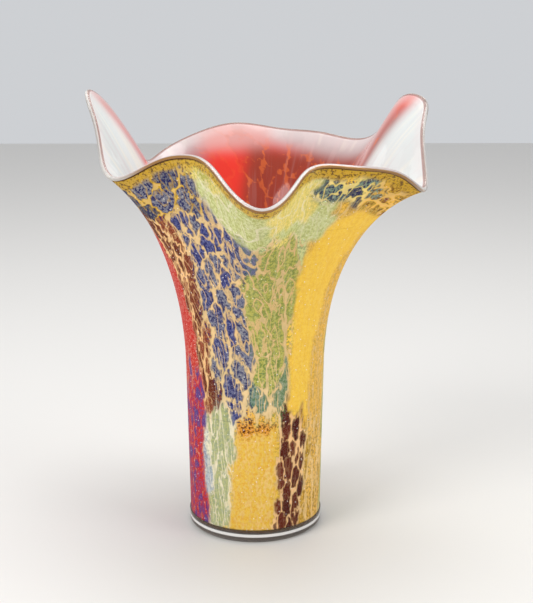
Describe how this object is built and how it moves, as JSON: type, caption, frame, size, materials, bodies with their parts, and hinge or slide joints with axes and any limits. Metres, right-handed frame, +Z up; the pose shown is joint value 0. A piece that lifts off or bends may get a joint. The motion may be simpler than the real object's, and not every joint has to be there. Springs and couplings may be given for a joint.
{
  "type": "hand blown art glass vase",
  "caption": "Tall cased glass vase with a straight round body flaring to a wavy ruffled mouth with pulled-up ears, netted colour fields outside and a ruby lining inside.",
  "frame": {"origin": "middle of the ground foot, on the table", "axes": "+Z up through the body, -Y towards the front, where the rim dips between its two low lobes, and the tall ears on +X and -X"},
  "size_m": [0.2826, 0.2735, 0.3647],
  "materials": {
    "foot_glass": "clear, ground flat and polished",
    "crystal_glass": "clear, fire polished",
    "casing_glass": "clear, fire polished",
    "lip_glass": "clear, fire polished",
    "ruby_glass": "transparent red, fading to nearly clear at the ears",
    "amber_glass": "opaque amber to cream",
    "red_glass": "opaque, speckled with yellow, violet lower down",
    "brown_glass": "opaque, netted",
    "blue_glass": "opaque, speckled dark, netted",
    "green_glass": "opaque, streaked, netted",
    "straw_glass": "opaque, milky",
    "yellow_glass": "opaque, finely mottled",
    "mint_glass": "opaque, milky, netted",
    "burgundy_glass": "opaque, netted",
    "gold_glass": "opaque, streaked",
    "leaf_glass": "opaque, netted",
    "ochre_glass": "opaque, mottled",
    "sky_glass": "opaque, netted",
    "plum_glass": "opaque, netted"
  },
  "bodies": {
    "root": {"foot_pad": "foot_glass", "crystal_core": "crystal_glass", "clear_casing": "casing_glass", "clear_lip": "lip_glass", "ruby_lining": "ruby_glass", "amber_ground": "amber_glass", "field_red": "red_glass", "field_brown": "brown_glass", "field_blue": "blue_glass", "field_green": "green_glass", "field_green_lobe": "green_glass", "field_straw": "straw_glass", "field_yellow": "yellow_glass", "field_mint": "mint_glass", "field_panel": "yellow_glass", "field_burgundy": "burgundy_glass", "field_gold_low": "gold_glass", "field_gold": "gold_glass", "field_leaf": "leaf_glass", "field_ochre": "ochre_glass", "field_sky": "sky_glass", "field_plum": "plum_glass"}
  },
  "joints": []
}
